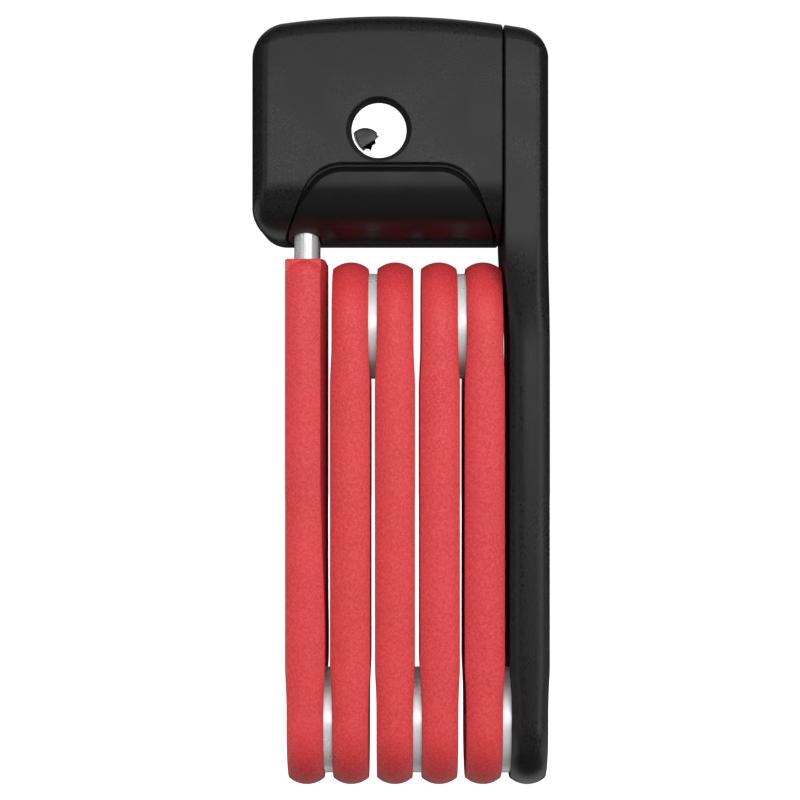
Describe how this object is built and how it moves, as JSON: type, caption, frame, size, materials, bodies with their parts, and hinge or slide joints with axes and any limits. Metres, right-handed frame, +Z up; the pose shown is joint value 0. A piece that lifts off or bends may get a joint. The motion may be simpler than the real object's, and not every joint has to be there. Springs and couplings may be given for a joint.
{
  "type": "folding bike lock",
  "caption": "Folding bike lock, folded: plastic-covered steel links riveted into a pack beside an arm, with a keyed lock head that takes the last link's tongue.",
  "frame": {"origin": "under the middle of the folded lock, on the plane it stands on", "axes": "+Z up along the folded links, -Y is the front with the keyway, +X is towards the arm"},
  "size_m": [0.0649, 0.033, 0.1694],
  "materials": {
    "red_cover": "matte, fine moulded grain",
    "black_casing": "matte, fine moulded grain",
    "black_panel": "smooth satin",
    "hardened_steel": "ground and plated",
    "hinge_steel": "bright zinc and nickel plate",
    "cylinder_chrome": "polished nickel plate",
    "cylinder_core": "machined",
    "zinc_housing": "die-cast",
    "dark_steel": "blackened",
    "spring_steel": "drawn wire"
  },
  "bodies": {
    "link_5": {"link_plate_5": "hardened_steel", "link_cover_5": "red_cover", "hinge_rivet_5": "hinge_steel", "hinge_disc_5": "hinge_steel"},
    "link_4": {"link_plate_4": "hardened_steel", "link_cover_4": "red_cover", "hinge_rivet_4": "hinge_steel", "hinge_disc_4": "hinge_steel"},
    "link_3": {"link_plate_3": "hardened_steel", "link_cover_3": "red_cover", "hinge_rivet_3": "hinge_steel", "hinge_disc_3": "hinge_steel"},
    "link_2": {"link_plate_2": "hardened_steel", "link_cover_2": "red_cover", "hinge_rivet_2": "hinge_steel", "hinge_disc_2": "hinge_steel"},
    "link_1": {"link_plate_1": "hardened_steel", "link_cover_1": "red_cover", "hinge_rivet_1": "hinge_steel", "hinge_disc_1": "hinge_steel"},
    "arm": {"arm_plate": "hardened_steel", "arm_cover": "black_casing", "swivel_rivet": "hinge_steel", "swivel_disc": "hinge_steel"},
    "lock_head": {"head_cover": "black_casing", "rear_cover": "black_casing", "arch_panel": "black_panel", "lock_housing": "zinc_housing", "cover_screws": "dark_steel", "cylinder_barrel": "cylinder_chrome", "latch_spring": "spring_steel"},
    "key_plug": {"plug_face": "cylinder_chrome", "plug_core": "cylinder_core", "detainer_discs": "cylinder_core", "sidebar": "hardened_steel", "drill_guard": "dark_steel", "retaining_clip": "spring_steel", "cam": "hardened_steel"},
    "shutter": {"keyway_shutter": "hinge_steel"},
    "latch": {"latch_bolt": "hardened_steel"}
  },
  "joints": [
    {"name": "hinge_5_fold", "type": "hinge", "parent": "link_5", "child": "link_4", "pos_m": [0, 0, 0.0143], "axis": [1, 0, 0], "range_deg": [-69.2, 0]},
    {"name": "hinge_4_fold", "type": "hinge", "parent": "link_4", "child": "link_3", "pos_m": [0, 0, 0.1023], "axis": [1, 0, 0], "range_deg": [0, 188]},
    {"name": "hinge_3_fold", "type": "hinge", "parent": "link_3", "child": "link_2", "pos_m": [0, 0, 0.0143], "axis": [1, 0, 0], "range_deg": [-137.3, 0]},
    {"name": "hinge_2_fold", "type": "hinge", "parent": "link_2", "child": "link_1", "pos_m": [0, 0, 0.1023], "axis": [1, 0, 0], "range_deg": [-102.5, 0]},
    {"name": "hinge_1_fold", "type": "hinge", "parent": "link_1", "child": "arm", "pos_m": [0, 0, 0.0143], "axis": [1, 0, 0], "range_deg": [0, 177]},
    {"name": "head_swivel", "type": "hinge", "parent": "arm", "child": "lock_head", "pos_m": [0, 0, 0.1463], "axis": [1, 0, 0], "range_deg": [-57.5, 0]},
    {"name": "key_turn", "type": "hinge", "parent": "lock_head", "child": "key_plug", "pos_m": [-0.00456, 0, 0.1444], "axis": [0, 1, 0], "range_deg": [0, 90]},
    {"name": "shutter_swing", "type": "hinge", "parent": "key_plug", "child": "shutter", "pos_m": [-0.00456, -0.01165, 0.14535], "axis": [1, 0, 0], "range_deg": [0, 28], "stiffness_Nm_per_rad": 0.0004, "springref_deg": -11.46},
    {"name": "latch_slide", "type": "slide", "parent": "lock_head", "child": "latch", "axis": [-1, 0, 0], "range_m": [0, 0.005]}
  ],
  "couplings": [
    {"joint": "hinge_2_fold", "follows": "hinge_1_fold", "ratio": -0.57627},
    {"joint": "hinge_3_fold", "follows": "hinge_1_fold", "ratio": -0.77269},
    {"joint": "hinge_4_fold", "follows": "hinge_1_fold", "ratio": 1.0593},
    {"joint": "hinge_5_fold", "follows": "hinge_1_fold", "ratio": -0.38833},
    {"joint": "head_swivel", "follows": "hinge_1_fold", "ratio": -0.32203},
    {"joint": "latch_slide", "follows": "key_turn", "m_per_rad": 0.0031831}
  ]
}
